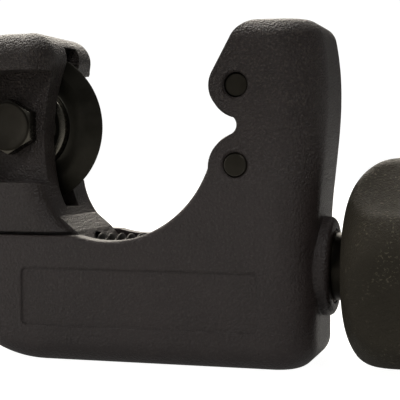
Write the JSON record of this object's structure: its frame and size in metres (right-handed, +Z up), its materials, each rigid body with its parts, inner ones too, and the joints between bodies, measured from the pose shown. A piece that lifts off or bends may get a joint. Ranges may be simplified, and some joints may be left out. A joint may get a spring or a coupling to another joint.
{
  "type": "pipe cutter",
  "caption": "Small hand-held pipe cutter: a C-shaped frame with rollers, a screw-driven slider with a cutting wheel, and a lobed knob.",
  "frame": {"origin": "centre of the whole length and width, at the flat base the frame stands on", "axes": "+X along the feed screw towards the knob, +Y along the pipe's axis to the nut side, +Z up from the flat base"},
  "size_m": [0.0866, 0.0296, 0.0472],
  "materials": {
    "frame_coat": "fine-textured black powder coat on a zinc casting",
    "slider_coat": "fine-textured black powder coat on a zinc casting",
    "knob_plastic": "black moulded plastic with a fine grain",
    "cap_plastic": "smooth black moulded plastic",
    "black_steel": "black oxide, satin",
    "wheel_steel": "hardened tool steel, black oxide, turned",
    "roller_steel": "turned steel, oiled",
    "plain_steel": "bright zinc-plated steel",
    "bronze": "sintered bronze",
    "brass": "turned brass"
  },
  "bodies": {
    "frame": {"frame": "frame_coat", "screw_bush": "bronze", "stop_pin": "plain_steel", "upper_roller_pin": "black_steel", "lower_roller_pin": "black_steel"},
    "screw": {"feed_screw": "black_steel", "thrust_washer": "black_steel", "clip_washer": "plain_steel", "retaining_clip": "black_steel", "knob_insert": "brass", "knob": "knob_plastic", "knob_screw": "plain_steel", "knob_cap": "cap_plastic"},
    "slider": {"slider": "slider_coat", "wheel_bolt": "black_steel", "wheel_nut": "black_steel", "lock_washer": "black_steel", "wheel_sleeve": "plain_steel"},
    "wheel": {"cutter_wheel": "wheel_steel"},
    "upper_roller": {"upper_roller": "roller_steel"},
    "lower_roller": {"lower_roller": "roller_steel"}
  },
  "joints": [
    {"name": "knob_turn", "type": "hinge", "parent": "frame", "child": "screw", "pos_m": [0.0176, 0, 0.0136], "axis": [-1, 0, 0], "range_deg": [-2525, 2645]},
    {"name": "slider_travel", "type": "slide", "parent": "frame", "child": "slider", "axis": [1, 0, 0], "range_m": [-0.0105, 0.011]},
    {"name": "wheel_spin", "type": "hinge", "parent": "slider", "child": "wheel", "pos_m": [-0.02955, 0, 0.03305], "axis": [0, 1, 0], "continuous": true},
    {"name": "upper_roller_spin", "type": "hinge", "parent": "frame", "child": "upper_roller", "pos_m": [0.0043, 0, 0.0384], "axis": [0, 1, 0], "continuous": true},
    {"name": "lower_roller_spin", "type": "hinge", "parent": "frame", "child": "lower_roller", "pos_m": [0.0043, 0, 0.0277], "axis": [0, 1, 0], "continuous": true}
  ],
  "couplings": [
    {"joint": "knob_turn", "follows": "slider_travel", "rad_per_m": 4188.8}
  ]
}
